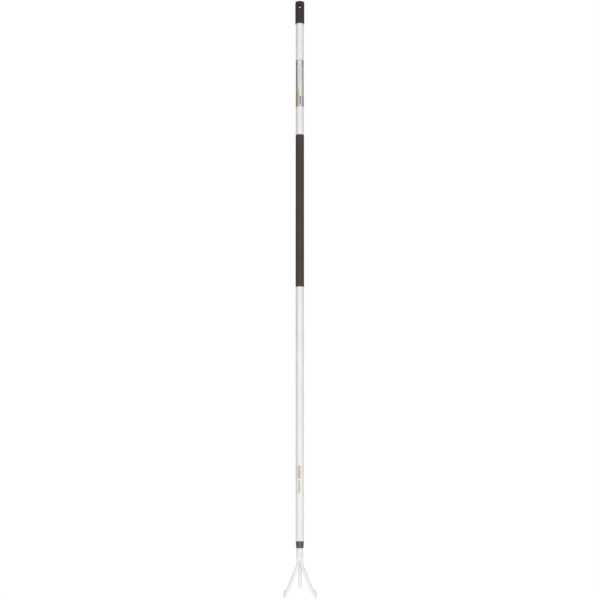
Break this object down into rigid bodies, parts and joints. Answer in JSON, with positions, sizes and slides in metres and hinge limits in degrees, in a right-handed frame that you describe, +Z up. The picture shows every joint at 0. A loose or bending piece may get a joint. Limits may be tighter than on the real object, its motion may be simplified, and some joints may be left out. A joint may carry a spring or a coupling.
{
  "type": "garden cultivator",
  "caption": "Long handled garden cultivator: a white tube with a hanging cap, a grip sleeve and a head of hooked tines with flattened blades.",
  "frame": {"origin": "middle of the hang hole in the end cap, on the handle's axis", "axes": "+Z up along the handle, +Y along the hang hole towards the working side of the tines, +X to the right as seen from behind the tines"},
  "size_m": [0.0866, 0.0681, 1.5827],
  "materials": {
    "shaft_coat": "white powder coat on a drawn aluminium tube",
    "head_coat": "light grey-white powder coat on forged steel",
    "cap_plastic": "moulded, near black, satin",
    "grip_rubber": "soft touch sleeve, dark brown-black, matt",
    "collar_plastic": "moulded, dark grey, fine grain",
    "label_film": "silver film"
  },
  "bodies": {
    "root": {"shaft_tube": "shaft_coat", "end_cap": "cap_plastic", "grip_sleeve": "grip_rubber", "wrap_label": "label_film", "collar_bush": "collar_plastic", "neck": "head_coat", "tine_left": "head_coat", "tine_centre": "head_coat", "tine_right": "head_coat", "weld_front": "head_coat", "weld_left": "head_coat", "weld_right": "head_coat"}
  },
  "joints": []
}
